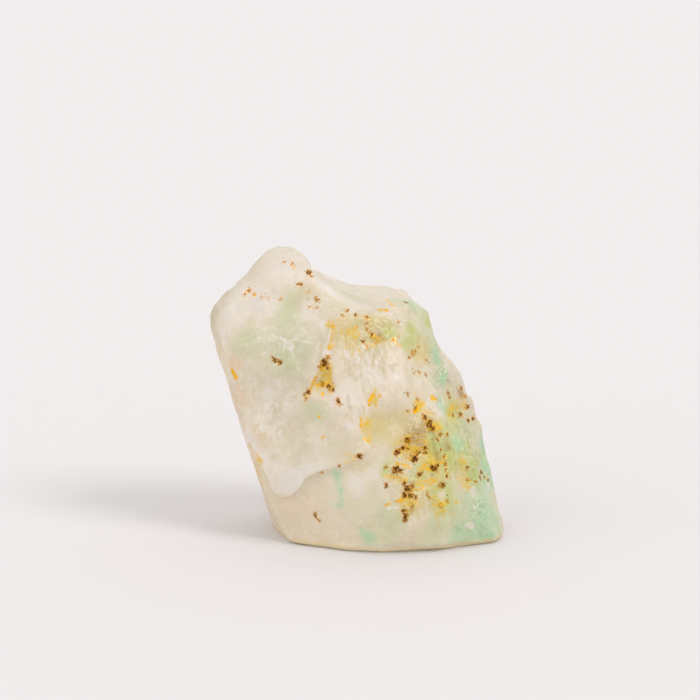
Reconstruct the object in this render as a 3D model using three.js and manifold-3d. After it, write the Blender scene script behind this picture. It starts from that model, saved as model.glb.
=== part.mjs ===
// Raw fluorite: one cleaved lump of crystal that stands on a flat broken base.
// Units are millimetres. +X is to the right, +Y is away from the viewer of the front, +Z is up.
// The origin lies on the base, under the middle of the lump.
import * as THREE from "three";
import { ConvexGeometry } from "three/addons/geometries/ConvexGeometry.js";
import { ImprovedNoise } from "three/addons/math/ImprovedNoise.js";
import { mergeVertices } from "three/addons/utils/BufferGeometryUtils.js";
import Module from "manifold-3d";

// Base: where the lump touches the ground, going round from the left corner by way of the front.
const BASE_CORNERS = [
  [-12.0, 3.5],
  [-9.6, -3.3],
  [-5.7, -5.9],
  [-0.8, -7.9],
  [4.0, -8.5],
  [12.4, -7.1],
  [18.9, -4.2],
  [20.6, -2.4],
  [19.4, 5.5],
  [11.0, 12.5],
  [-5.0, 13.5],
  [-11.0, 9.5],
];

// Lower front edge: it overhangs the base, which leaves a narrow undercut band beneath it.
const OVERHANG_EDGE = [
  [-8.8, -5.2, 0.4],
  [-2.2, -9.3, 1.4],
  [4.0, -10.7, 1.8],
  [12.3, -8.7, 1.3],
  [19.3, -4.5, 0.4],
];

// Left side: a steep cleavage plane that leans out to a thin rounded shoulder.
const LEFT_SIDE = [
  [-14.1, -4.3, 10.5],
  [-15.9, -3.8, 19.0],
  [-18.0, -2.9, 28.3],
  [-16.5, 3.0, 16.2],
  [-18.4, 3.0, 22.0],
  [-20.3, 0.8, 29.4],
  [-20.5, 1.0, 31.5],
  [-20.0, 0.8, 33.0],
  [-18.8, 0.6, 34.3],
  [-14.9, 0.6, 37.9],
  [-17.4, -2.3, 32.8],
];

// Front: a left face and a right face that meet along a rounded ridge near the middle.
const FRONT_RIDGE = [
  [-3.1, -7.4, 32.8],
  [-3.6, -8.7, 27.7],
  [-2.2, -9.8, 21.5],
  [-1.0, -10.4, 17.9],
  [-0.8, -10.7, 13.6],
];
const FRONT_LEFT_FACE = [
  [-10.6, -6.3, 29.4],
  [-10.4, -4.4, 36.6],
  [-5.0, -5.9, 34.6],
  [-8.0, -7.5, 9.8],
  [-4.2, -9.3, 12.6],
];
const FRONT_RIGHT_FACE = [
  [1.5, -6.8, 32.6],
  [6.3, -4.6, 31.6],
  [2.8, -10.7, 15.0],
  [6.0, -9.2, 22.0],
  [11.4, -6.2, 18.0],
  [11.8, -8.3, 10.0],
  [16.9, -3.9, 9.0],
];

// Shelf: the back edge of the gently sloping top plane.
const SHELF_BACK_EDGE = [
  [-5.5, 6.0, 37.1],
  [-3.7, 8.0, 35.9],
  [0.6, 9.0, 34.4],
  [4.2, 9.0, 34.2],
  [7.0, 7.0, 33.9],
  [7.9, 4.5, 33.2],
  [9.8, 2.0, 32.5],
];

// Right side: the outline that comes down from the shelf to the base.
const RIGHT_SIDE = [
  [10.5, 1.5, 30.8],
  [14.9, 2.0, 23.2],
  [16.8, 2.0, 18.8],
  [18.7, 1.2, 11.3],
  [19.9, 0.0, 6.5],
  [20.5, -1.6, 1.4],
  [19.2, 8.0, 6.0],
];

// Back: two broad cleavage planes that meet along an upright edge.
const BACK = [
  [-13.6, 6.0, 35.6],
  [-18.0, 6.2, 29.5],
  [-15.2, 10.0, 16.0],
  [-3.0, 14.4, 12.0],
  [8.0, 13.2, 14.0],
  [12.0, 8.5, 22.0],
];

// Knob: the rounded head at the top of the left slab, as its front rim, its crown and its back rim.
const KNOB = [
  [-12.7, -0.6, 40.1],
  [-11.3, -1.2, 40.7],
  [-9.7, -1.6, 40.9],
  [-8.4, -1.7, 40.8],
  [-7.0, -1.8, 40.2],
  [-13.2, 1.2, 40.1],
  [-12.2, 1.3, 40.7],
  [-11.0, 1.5, 41.0],
  [-9.6, 1.5, 41.1],
  [-8.0, 1.5, 40.9],
  [-7.0, 1.5, 40.2],
  [-12.0, 5.0, 38.9],
  [-7.6, 5.4, 39.0],
];

// Upper layer: its wavy lower edge in x and z. Below that edge the front is split off one layer deeper.
const LAYER_EDGE = [
  [-15.5, 11.6],
  [-13.1, 11.2],
  [-11.9, 8.6],
  [-11.3, 7.4],
  [-10.0, 6.9],
  [-8.6, 7.2],
  [-7.5, 8.6],
  [-6.7, 10.4],
  [-5.2, 11.4],
  [-3.0, 12.2],
  [-1.5, 12.6],
  [0.4, 13.8],
  [2.0, 15.4],
  [4.5, 17.0],
];
// The deeper layer shows two faces that meet along an upright edge.
const LOWER_FACES = [
  { point: [-2.2, -8.9, 12.6], yaw: -24.5, pitch: -3 },
  { point: [-2.2, -8.9, 12.6], yaw: -15.5, pitch: 0 },
];

// Second split: a thinner layer gone from the lowest part of the front.
const SECOND_EDGE = [
  [-3.2, -3.0],
  [-3.0, 1.6],
  [-2.0, 4.0],
  [1.9, 5.0],
  [3.9, 5.7],
  [6.2, 6.8],
  [9.5, 7.4],
  [13.5, 6.0],
];
const SECOND_FACE = { point: [4.0, -10.3, 3.0], yaw: -4, pitch: -1 };

// Pits: the corners of each pit's rim on the surface, and its deepest point.
const CLEAVAGE_PITS = [
  { rim: [[-3.8, -8.6, 28.0], [-7.0, -8.0, 22.4], [-2.1, -9.8, 21.3]], deepest: [-4.1, -7.5, 25.0] },
  { rim: [[-10.8, -6.1, 29.4], [-6.0, -7.9, 30.1], [-6.8, -7.9, 24.6]], deepest: [-8.0, -6.7, 29.2] },
  { rim: [[0.7, -10.2, 21.8], [6.2, -9.0, 18.6], [2.0, -10.6, 15.6]], deepest: [1.5, -9.6, 19.4] },
];

// Conchoidal scallops: where each lies in x and z, its width and depth, and the side it is on.
const SCALLOPS = [
  { x: -14.2, z: 21.4, width: 8.0, depth: 0.32, side: "front" },
  { x: -10.4, z: 17.0, width: 7.4, depth: 0.3, side: "front" },
  { x: -15.4, z: 33.2, width: 6.4, depth: 0.26, side: "front" },
  { x: 3.3, z: 18.6, width: 6.4, depth: 0.4, side: "front" },
  { x: 7.4, z: 27.2, width: 7.4, depth: 0.3, side: "front" },
  { x: 13.4, z: 19.6, width: 7.0, depth: 0.3, side: "front" },
  { x: 15.2, z: 7.6, width: 9.0, depth: 0.3, side: "front" },
  { x: -9.0, z: 24.0, width: 13.0, depth: 1.0, side: "back" },
  { x: 8.6, z: 9.0, width: 11.0, depth: 0.9, side: "back" },
  { x: -7.0, z: 8.0, width: 7.0, depth: 0.6, side: "back" },
];

// Ledges: what is gone from the top, the right side and the back. Each is an outline in x and z
// that is true at one depth in y, and is cut through turned by its yaw and climbing by its rise.
// It starts in front of the lump, or at its own start. Its first point is the foot of the step.
const LEDGES = [
  {
    outline: [
      [-6.9, 37.8],
      [-7.0, 38.7],
      [-7.4, 39.6],
      [-8.2, 40.5],
      [-9.4, 41.1],
      [-9.6, 44.0],
      [24.0, 44.0],
      [24.0, 26.0],
      [9.8, 32.4],
      [7.9, 33.2],
      [7.0, 33.9],
      [4.2, 34.2],
      [0.6, 34.4],
      [-1.6, 34.9],
      [-3.7, 35.9],
      [-5.5, 37.0],
    ],
    depth: 7,
    yaw: 7,
    rise: 0.1,
  },
  {
    outline: [
      [-16.9, 35.7],
      [-19.2, 34.4],
      [-24.0, 37.0],
      [-18.0, 44.0],
      [-13.0, 40.4],
      [-14.2, 38.9],
      [-15.0, 37.8],
    ],
    depth: 0.6,
    yaw: -20,
    rise: 0.05,
  },
  { outline: [[11.6, 26.8], [10.3, 31.4], [17, 31.4], [17, 22.3]], depth: 2, yaw: 9, rise: 0.06 },
  { outline: [[15.8, 19.9], [15.1, 22.4], [20, 22.4], [20, 17.4]], depth: 2, yaw: -10, rise: -0.1 },
  { outline: [[17.1, 16.2], [16.6, 18.9], [22, 18.9], [22, 12.4]], depth: 2, yaw: 14, rise: 0.12 },
  { outline: [[18.3, 11.0], [17.7, 14.2], [23, 14.2], [23, 7.6]], depth: 1, yaw: -16, rise: -0.04 },
  {
    outline: [[-15.6, 11.0], [-18.0, 24.0], [-30, 24.0], [-30, 6.0]],
    depth: 7,
    yaw: 24,
    rise: 0.2,
    start: 4.6,
  },
  {
    outline: [[2.6, 25.5], [-6.0, 44.0], [24, 44.0], [24, 23.0]],
    depth: 10,
    yaw: 7,
    rise: -0.2,
    start: 9.4,
  },
];

// Hackle: small splinters gone from the rough right part of the front, within these limits of x and z.
const HACKLE_PITS = 22;
const HACKLE_X = [4.5, 17.5];
const HACKLE_Z = [5, 30];
const HACKLE_WIDTH = [0.9, 2.4];
const HACKLE_DEPTH = [0.25, 0.55];
const HACKLE_SEED = 11;

// Skin: longest triangle edge on the front, behind and round the base, and the waves laid on it.
const FRONT_EDGE_LENGTH = 1.7;
const BACK_EDGE_LENGTH = 2.8;
const BASE_RIM_LENGTH = 3.0;
const SHORTEST_EDGE = 0.42;
const FRONT_LIMIT_Y = 2.5;
const WAVES = [
  { length: 6.5, height: 0.24 },
  { length: 3.1, height: 0.17 },
  { length: 1.6, height: 0.12 },
];
const ROUGH_SIDE_X = [6, 14];
const ROUGH_SIDE_GAIN = 0.9;
const RIM_FADE_HEIGHT = 1.2;

const OUT_OF_THE_WAY = 60;
const ON_BASE_HEIGHT = 0.02;
const BELOW_BASE = -3;
const CUT_REACH = 30;
const PIT_REACH = 3;
const BALL_DETAIL = 14;
const WELD_DISTANCE = 1e-4;
const EVENING_PASSES = 30;
const SAME_PLANE = 0.997;
const KEEPS_SHAPE = 0.96;
const SMALLEST_AREA = 1e-4;

const manifold = await Module();
manifold.setup();

// A closed three.js geometry as a solid that can be joined and cut.
function solidOf(geometry) {
  const bare = geometry.clone();
  bare.deleteAttribute("normal");
  bare.deleteAttribute("uv");
  const merged = mergeVertices(bare, WELD_DISTANCE);
  return new manifold.Manifold(
    new manifold.Mesh({
      numProp: 3,
      vertProperties: merged.getAttribute("position").array,
      triVerts: new Uint32Array(merged.index.array),
    }),
  );
}

const hullGeometry = (points) => new ConvexGeometry(points.map((p) => new THREE.Vector3(...p)));
const hull = (points) => solidOf(hullGeometry(points));

// Three axes of a face: to its right, up along it, and out of it. Yaw turns it right, pitch up.
function faceAxes({ yaw, pitch }) {
  const turn = THREE.MathUtils.degToRad(yaw);
  const tilt = THREE.MathUtils.degToRad(pitch);
  const out = new THREE.Vector3(
    Math.sin(turn) * Math.cos(tilt),
    -Math.cos(turn) * Math.cos(tilt),
    Math.sin(tilt),
  );
  const right = new THREE.Vector3(Math.cos(turn), Math.sin(turn), 0);
  const up = new THREE.Vector3().crossVectors(out, right);
  return { right, up, out };
}

// What lies outside a plane face, over an outline given in x and z.
function splitOff(outline, face) {
  const { right, up, out } = faceAxes(face);
  const origin = new THREE.Vector3(...face.point);
  const onFace = outline.map(([x, z]) => {
    const drop = out.x * (x - origin.x) + out.z * (z - origin.z);
    const offset = new THREE.Vector3(x, origin.y - drop / out.y, z).sub(origin);
    return new THREE.Vector2(offset.dot(right), offset.dot(up));
  });
  const layer = new THREE.ExtrudeGeometry(new THREE.Shape(onFace), {
    depth: CUT_REACH,
    bevelEnabled: false,
  });
  layer.applyMatrix4(new THREE.Matrix4().makeBasis(right, up, out).setPosition(origin));
  return solidOf(layer);
}

// An outline in x and z cut right through, as a prism that is turned and slanted.
function ledge({ outline, depth, yaw, rise, start = -CUT_REACH }) {
  const [[footX, footZ]] = outline;
  const shape = new THREE.Shape(outline.map(([x, z]) => new THREE.Vector2(x - footX, z - footZ)));
  const block = new THREE.ExtrudeGeometry(shape, { depth: CUT_REACH - start, bevelEnabled: false });
  block.rotateX(Math.PI / 2);
  block.translate(0, CUT_REACH - depth, 0);
  block.rotateZ(THREE.MathUtils.degToRad(yaw));
  block.applyMatrix4(new THREE.Matrix4().makeShear(0, 0, 0, rise, 0, 0));
  block.translate(footX, depth, footZ);
  return solidOf(block);
}

// A pit narrows from its rim to its deepest point. Its cutter carries on past the rim.
function pit({ rim, deepest }) {
  const bottom = new THREE.Vector3(...deepest);
  const reach = rim.map((p) => new THREE.Vector3(...p).sub(bottom).multiplyScalar(PIT_REACH));
  return hull([deepest, ...reach.map((offset) => offset.add(bottom).toArray())]);
}

function ball({ centre, radius }) {
  const sphere = new THREE.IcosahedronGeometry(radius, BALL_DETAIL);
  sphere.translate(...centre);
  return solidOf(sphere);
}

// Where a line along y meets the surface, from the front or from behind, with the way out there.
function surfaceAt(surface, x, z, side) {
  const toward = side === "front" ? 1 : -1;
  const start = new THREE.Vector3(x, -toward * OUT_OF_THE_WAY, z);
  const ray = new THREE.Raycaster(start, new THREE.Vector3(0, toward, 0));
  const [hit] = ray.intersectObject(new THREE.Mesh(surface));
  return hit && { point: hit.point, normal: hit.face.normal };
}

// The ball that sinks into the surface by this depth over this width.
function scallop(surface, { x, z, width, depth, side }) {
  const { point, normal } = surfaceAt(surface, x, z, side);
  const radius = ((width / 2) ** 2 + depth ** 2) / (2 * depth);
  const centre = point.addScaledVector(normal, radius - depth);
  return ball({ centre: centre.toArray(), radius });
}

function mainHull() {
  return hullGeometry([
    ...BASE_CORNERS.map(([x, y]) => [x, y, 0]),
    ...OVERHANG_EDGE,
    ...LEFT_SIDE,
    ...FRONT_RIDGE,
    ...FRONT_LEFT_FACE,
    ...FRONT_RIGHT_FACE,
    ...KNOB,
    ...SHELF_BACK_EDGE,
    ...RIGHT_SIDE,
    ...BACK,
  ]);
}

function upperLayerCuts() {
  const [left] = LAYER_EDGE[0];
  const [right] = LAYER_EDGE.at(-1);
  const outline = [[left, BELOW_BASE], [right, BELOW_BASE], ...LAYER_EDGE.toReversed()];
  return LOWER_FACES.map((face) => splitOff(outline, face));
}

function secondLayerCut() {
  const [right] = SECOND_EDGE.at(-1);
  return splitOff([[right, BELOW_BASE], ...SECOND_EDGE.toReversed()], SECOND_FACE);
}

// A three-sided pit whose deepest point lies nearer to its first corner.
function splinterPit({ point, normal }, turn, radius, depth) {
  const across = new THREE.Vector3(0, 0, 1).cross(normal).normalize();
  const along = new THREE.Vector3().crossVectors(normal, across);
  const around = (angle, distance) =>
    point
      .clone()
      .addScaledVector(across, distance * Math.cos(angle))
      .addScaledVector(along, distance * Math.sin(angle));
  const rim = [0, 1, 2].map((k) => around(turn + (k * 2 * Math.PI) / 3, radius).toArray());
  const deepest = around(turn, radius / 2).addScaledVector(normal, -depth);
  return pit({ rim, deepest: deepest.toArray() });
}

// Small pits at random places on the right part of the front.
function hacklePits(surface) {
  THREE.MathUtils.seededRandom(HACKLE_SEED);
  const random = (low, high) => low + (high - low) * THREE.MathUtils.seededRandom();
  const pits = [];
  for (let i = 0; i < HACKLE_PITS; i++) {
    const place = surfaceAt(surface, random(...HACKLE_X), random(...HACKLE_Z), "front");
    const turn = random(0, Math.PI * 2);
    const width = random(...HACKLE_WIDTH);
    const depth = random(...HACKLE_DEPTH);
    if (place) {
      pits.push(splinterPit(place, turn, width / 2, depth));
    }
  }
  return pits;
}

function cleavedLump() {
  const block = mainHull();
  const cuts = [
    ...upperLayerCuts(),
    secondLayerCut(),
    ...CLEAVAGE_PITS.map(pit),
    ...SCALLOPS.map((place) => scallop(block, place)),
    ...LEDGES.map(ledge),
    ...hacklePits(block),
  ];
  return cuts.reduce((lump, cut) => lump.subtract(cut), solidOf(block));
}

// Positions and triangles of a solid as plain lists.
function meshOf(solid) {
  const mesh = solid.getMesh();
  const points = [];
  for (let i = 0; i < mesh.numVert; i++) {
    const start = i * mesh.numProp;
    points.push(new THREE.Vector3(...mesh.vertProperties.subarray(start, start + 3)));
  }
  const triangles = [];
  for (let i = 0; i < mesh.numTri; i++) {
    triangles.push([...mesh.triVerts.subarray(i * 3, i * 3 + 3)]);
  }
  return { points, triangles };
}

const isOnBase = (point) => point.z < ON_BASE_HEIGHT;
const edgeKey = (a, b) => (a < b ? `${a} ${b}` : `${b} ${a}`);
const edgesOf = ([a, b, c]) => [[a, b, c], [b, c, a], [c, a, b]];

// Twice a triangle's area, along its normal.
function crossOf(points, [a, b, c]) {
  const side = new THREE.Vector3().subVectors(points[b], points[a]);
  return side.cross(new THREE.Vector3().subVectors(points[c], points[a]));
}

// How near a triangle is to an even one: 1 for equal sides, 0 for a sliver.
function evenness(points, triangle) {
  const squares = edgesOf(triangle).map(([a, b]) => points[a].distanceToSquared(points[b]));
  const sum = squares.reduce((total, square) => total + square, 0);
  return (2 * Math.sqrt(3) * crossOf(points, triangle).length()) / sum;
}

// Each edge with the triangles on its two sides and the corners opposite to it.
function edgeTable(triangles) {
  const table = new Map();
  triangles.forEach((triangle, t) => {
    for (const [a, b, opposite] of edgesOf(triangle)) {
      const key = edgeKey(a, b);
      const sides = table.get(key) ?? [];
      sides.push({ a, b, opposite, t });
      table.set(key, sides);
    }
  });
  return table;
}

// Turns edges between flat neighbours where that makes the two triangles more even.
function turnEdges(mesh) {
  const { points, triangles } = mesh;
  const table = edgeTable(triangles);
  const touched = new Set();
  const added = new Set();
  for (const [one, other] of table.values()) {
    const [c, d] = [one.opposite, other.opposite];
    const inBase = [one.a, one.b, c, d].every((i) => isOnBase(points[i]));
    const exists = table.has(edgeKey(c, d)) || added.has(edgeKey(c, d));
    if (inBase || exists || touched.has(one.t) || touched.has(other.t)) {
      continue;
    }
    const before = [triangles[one.t], triangles[other.t]];
    const after = [[c, d, one.b], [d, c, one.a]];
    const normals = [...before, ...after].map((t) => crossOf(points, t));
    if (normals.slice(2).some((n) => n.length() < SMALLEST_AREA)) {
      continue;
    }
    const sum = normals[0].clone().add(normals[1]).normalize();
    const flat = normals.every((n) => n.length() < SMALLEST_AREA || n.normalize().dot(sum) > SAME_PLANE);
    const worst = (pair) => Math.min(...pair.map((t) => evenness(points, t)));
    if (!flat || worst(after) <= worst(before) + 0.01) {
      continue;
    }
    [triangles[one.t], triangles[other.t]] = after;
    touched.add(one.t).add(other.t);
    added.add(edgeKey(c, d));
  }
  return added.size;
}

// Pulls the ends of very short edges together where the faces round them keep their directions.
function closeShortEdges(mesh) {
  const { points, triangles } = mesh;
  const around = points.map(() => new Set());
  triangles.forEach((triangle, t) => triangle.forEach((i) => around[i].add(t)));
  const neighbours = (i) => new Set([...around[i]].flatMap((t) => triangles[t]));
  const gone = new Set();
  const busy = new Set();
  for (const [first] of edgeTable(triangles).values()) {
    const { a, b } = first;
    if (busy.has(a) || busy.has(b) || points[a].distanceTo(points[b]) > SHORTEST_EDGE) {
      continue;
    }
    const shared = [...neighbours(a)].filter((i) => neighbours(b).has(i) && i !== a && i !== b);
    if (shared.length !== 2) {
      continue;
    }
    const options = [[a, b], [b, a]].map(([from, to]) => {
      if (isOnBase(points[from])) {
        return { score: -1 };
      }
      const kept = [...around[from]].filter((t) => !triangles[t].includes(to));
      const scores = kept.map((t) => {
        const now = crossOf(points, triangles[t]);
        const next = crossOf(points, triangles[t].map((i) => (i === from ? to : i)));
        return next.length() < SMALLEST_AREA ? -1 : now.normalize().dot(next.normalize());
      });
      return { from, to, kept, score: Math.min(...scores) };
    });
    const best = options[0].score > options[1].score ? options[0] : options[1];
    if (best.score < KEEPS_SHAPE) {
      continue;
    }
    [...neighbours(a), ...neighbours(b)].forEach((i) => busy.add(i));
    for (const t of around[best.from]) {
      if (triangles[t].includes(best.to)) {
        gone.add(t);
      } else {
        triangles[t] = triangles[t].map((i) => (i === best.from ? best.to : i));
      }
    }
  }
  mesh.triangles = triangles.filter((_, t) => !gone.has(t));
  return gone.size;
}

// How long an edge may stay: short on the front, longer behind, and longest round the base.
function longestAllowed(a, b, isRim) {
  if (isRim) {
    return BASE_RIM_LENGTH;
  }
  return (a.y + b.y) / 2 < FRONT_LIMIT_Y ? FRONT_EDGE_LENGTH : BACK_EDGE_LENGTH;
}

// The longest edge of each triangle, where it is too long. Inner edges of the base are left whole.
function edgesToDivide({ points, triangles }) {
  const table = edgeTable(triangles);
  const isBase = (t) => triangles[t].every((i) => isOnBase(points[i]));
  const marked = new Map();
  for (const triangle of triangles) {
    let worst = { excess: 1 };
    for (const [a, b] of edgesOf(triangle)) {
      const key = edgeKey(a, b);
      const baseSides = table.get(key).filter(({ t }) => isBase(t)).length;
      if (baseSides === 2) {
        continue;
      }
      const allowed = longestAllowed(points[a], points[b], baseSides === 1);
      const excess = points[a].distanceTo(points[b]) / allowed;
      if (excess > worst.excess) {
        worst = { key, a, b, excess };
      }
    }
    if (worst.key) {
      marked.set(worst.key, worst);
    }
  }
  return marked;
}

// Divides the marked edges at their middles, and each triangle to match.
function divideLongEdges(mesh) {
  const marked = edgesToDivide(mesh);
  const middles = new Map();
  for (const { key, a, b } of marked.values()) {
    middles.set(key, mesh.points.length);
    mesh.points.push(new THREE.Vector3().lerpVectors(mesh.points[a], mesh.points[b], 0.5));
  }
  mesh.triangles = mesh.triangles.flatMap((t) => divideTriangle(t, middles, mesh.points));
  return marked.size;
}

function divideTriangle([a, b, c], middles, points) {
  const [ab, bc, ca] = edgesOf([a, b, c]).map(([from, to]) => middles.get(edgeKey(from, to)));
  const count = [ab, bc, ca].filter((i) => i !== undefined).length;
  if (count === 0) {
    return [[a, b, c]];
  }
  if (count === 3) {
    return [[a, ab, ca], [ab, b, bc], [ca, bc, c], [ab, bc, ca]];
  }
  if (ab === undefined || (count === 2 && bc === undefined)) {
    return divideTriangle([b, c, a], middles, points);
  }
  if (count === 1) {
    return [[a, ab, c], [ab, b, c]];
  }
  const cutFromA = points[a].distanceTo(points[bc]) < points[ab].distanceTo(points[c]);
  const rest = cutFromA ? [[a, ab, bc], [a, bc, c]] : [[a, ab, c], [ab, bc, c]];
  return [[ab, b, bc], ...rest];
}

// Evens out the triangles that the cuts left.
function evenOut(mesh) {
  for (let pass = 0; pass < EVENING_PASSES; pass++) {
    if (closeShortEdges(mesh) + turnEdges(mesh) === 0) {
      return;
    }
  }
}

function refine(mesh) {
  evenOut(mesh);
  while (divideLongEdges(mesh) > 0) {
    turnEdges(mesh);
  }
  evenOut(mesh);
}

function vertexNormals({ points, triangles }) {
  const normals = points.map(() => new THREE.Vector3());
  for (const triangle of triangles) {
    const cross = crossOf(points, triangle);
    triangle.forEach((i) => normals[i].add(cross));
  }
  return normals.map((normal) => normal.normalize());
}

// Height of the natural waves at a point: a few sizes of noise, stronger on the rough right side.
function waveHeight(noise, { x, y, z }) {
  const gain = 1 + ROUGH_SIDE_GAIN * THREE.MathUtils.smoothstep(x, ...ROUGH_SIDE_X);
  const heights = WAVES.map(
    ({ length, height }) => height * noise.noise(x / length + length, y / length, z / length),
  );
  return gain * heights.reduce((total, height) => total + height, 0);
}

// Moves the skin in and out. The base stays flat: its rim only moves sideways.
function roughen(mesh) {
  const noise = new ImprovedNoise();
  const normals = vertexNormals(mesh);
  mesh.points.forEach((point, i) => {
    const lift = isOnBase(point) ? 0 : THREE.MathUtils.smoothstep(point.z, 0, RIM_FADE_HEIGHT);
    normals[i].z *= lift;
    point.addScaledVector(normals[i], waveHeight(noise, point));
  });
}

function geometryOf({ points, triangles }) {
  const geometry = new THREE.BufferGeometry().setFromPoints(points);
  geometry.setIndex(triangles.flat());
  geometry.computeVertexNormals();
  return geometry;
}

function fluorite() {
  const mesh = meshOf(cleavedLump());
  refine(mesh);
  roughen(mesh);
  const milkyGreen = new THREE.MeshStandardMaterial({
    color: 0xd3dcc0,
    roughness: 0.45,
    metalness: 0,
  });
  const lump = new THREE.Mesh(geometryOf(mesh), milkyGreen);
  lump.name = "fluorite_lump";
  return lump;
}

const part = new THREE.Group();
part.add(fluorite());

export default part;
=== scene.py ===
# A raw lump of milky green fluorite: its broken faces, its colours and its iron stains.
import math
import random

import bmesh
import bpy
import numpy as np
from mathutils import Euler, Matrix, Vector, noise
from mathutils.bvhtree import BVHTree


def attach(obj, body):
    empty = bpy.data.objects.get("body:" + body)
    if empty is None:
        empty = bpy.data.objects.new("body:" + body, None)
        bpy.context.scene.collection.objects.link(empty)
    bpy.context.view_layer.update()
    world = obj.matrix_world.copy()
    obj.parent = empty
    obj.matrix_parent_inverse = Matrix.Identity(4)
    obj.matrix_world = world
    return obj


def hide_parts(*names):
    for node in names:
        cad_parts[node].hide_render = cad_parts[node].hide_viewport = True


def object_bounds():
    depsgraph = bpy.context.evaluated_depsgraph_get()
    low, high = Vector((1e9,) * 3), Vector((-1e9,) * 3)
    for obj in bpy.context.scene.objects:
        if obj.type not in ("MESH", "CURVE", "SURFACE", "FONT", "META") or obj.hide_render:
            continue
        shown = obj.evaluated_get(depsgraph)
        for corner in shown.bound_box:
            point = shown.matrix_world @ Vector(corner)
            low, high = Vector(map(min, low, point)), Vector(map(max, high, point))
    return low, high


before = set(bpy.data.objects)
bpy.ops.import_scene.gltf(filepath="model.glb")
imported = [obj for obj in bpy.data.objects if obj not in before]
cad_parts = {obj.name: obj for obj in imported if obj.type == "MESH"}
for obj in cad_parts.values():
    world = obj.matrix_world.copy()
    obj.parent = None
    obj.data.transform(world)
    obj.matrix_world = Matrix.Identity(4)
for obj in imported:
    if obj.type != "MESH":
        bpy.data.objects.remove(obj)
CAD_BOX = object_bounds()

MM = 0.001
LUMP_NODE = "fluorite_lump"

# The front view: how far away it is taken, how high it stands and where it looks.
LENS_MM = 100.0
SENSOR_MM = 36.0
VIEW_CENTRE = Vector((-0.84, 0.0, 26.8)) * MM
VIEW_DISTANCE = 272.2 * MM
VIEW_ELEVATION = math.radians(12)
VIEW_FORWARD = Vector((0, math.cos(VIEW_ELEVATION), -math.sin(VIEW_ELEVATION)))
VIEW_RIGHT = Vector((1, 0, 0))
VIEW_UP = VIEW_RIGHT.cross(VIEW_FORWARD)
VIEW_POINT = VIEW_CENTRE - VIEW_FORWARD * VIEW_DISTANCE

# The light: white surroundings, a soft lamp at the upper right and a wide weak one at the left.
HORIZON_LIGHT = 1.06
OVERHEAD_LIGHT = 1.02
KEY_PLACE = (0.55, -0.35, 0.6)
KEY_SOFTNESS = math.radians(22)
KEY_POWER = 1.3
FILL_PLACE = (-0.7, -0.35, 0.35)
FILL_SOFTNESS = math.radians(60)
FILL_POWER = 0.6

# The floor lies a hair below the base, so that the two faces don't fight.
FLOOR_DEPTH = 0.04 * MM
FLOOR_HALF_WIDTH = 6.0

# The fine surface: the size of its grid, and how high each kind of relief stands on it.
GRID_MM = 0.21
EVENING_PASSES = 5
WELD_MM = 0.001
MOST_TRIANGLES = 190000
RELIEF_MM = {
    "Lumps": 0.55,
    "Terraces": 0.24,
    "Chips": 0.50,
    "Fibres": 0.34,
    "Arcs": 0.16,
    "Grain": 0.05,
    "Steps": 0.22,
}
RELIEF_SEED = 7.0

# The clouds of noise that the relief is made from: (size in mm, detail, roughness).
RELIEF_NOISES = {
    "warp": (4.0, 2.0, 0.5),
    "lumps": (4.5, 3.0, 0.55),
    "terrace share": (6.0, 1.0, 0.5),
    "right fibres": (0.9, 3.0, 0.6),
    "left fibres": (1.1, 3.0, 0.6),
    "ring wander": (3.5, 2.0, 0.5),
    "grain": (0.8, 2.0, 0.6),
}
RELIEF_WANDER = 1.6
RING_WANDER = 2.5
RINGS_PER_MM = 0.62

# The relief fades out between these heights over the base, which stays flat.
BASE_FADE_MM = (0.15, 1.2)

# The sides that the front view doesn't show have this share of each kind of relief.
BACK_ROUGHNESS = 0.6
BACK_FIBRES = 0.6
BACK_ARCS = 0.9

# Before a zone is measured its points wander by soft noise: (size of the noise, reach) in mm.
WANDER_SEED = 3
CLOUD_WANDER = (4.0, 1.2)
CLOUD_EDGE_WANDER = (1.3, 0.5)
LEDGE_WANDER = (1.5, 0.25)
LAYER_WANDER = (1.4, 0.2)
STROKE_WANDER = (0.9, 0.22)
LINE_WANDER = (1.1, 0.25)

# Fluorite splits along the four planes of an octahedron, which stands turned in the lump.
CLEAVAGE_TURN = Euler((math.radians(38), math.radians(-14), math.radians(22)))
CLEAVAGE_CORNERS = [(1, 1, 1), (1, -1, -1), (-1, 1, -1), (-1, -1, 1)]
TERRACE_MM = 1.5
TERRACE_MORE_MM = 0.35
THIN_TERRACE_MM = 0.62
THIN_TERRACE_MORE_MM = 0.1
THIN_TERRACE_SHARE = 0.6
WIDE_CHIP_MM = 2.3
SMALL_CHIP_MM = 1.1
SMALL_CHIP_SHARE = 0.5

# Noise stays well inside its range, so that fibres need this much more height to show.
FIBRE_GAIN = 2.6
RIGHT_FIBRES_ALONG = Vector((0.05, -0.25, 1.0)).normalized()
RIGHT_FIBRE_STRETCH = 0.12
LEFT_FIBRES_ALONG = Vector((0.62, -0.30, 0.75)).normalized()
LEFT_FIBRE_STRETCH = 0.22

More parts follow.
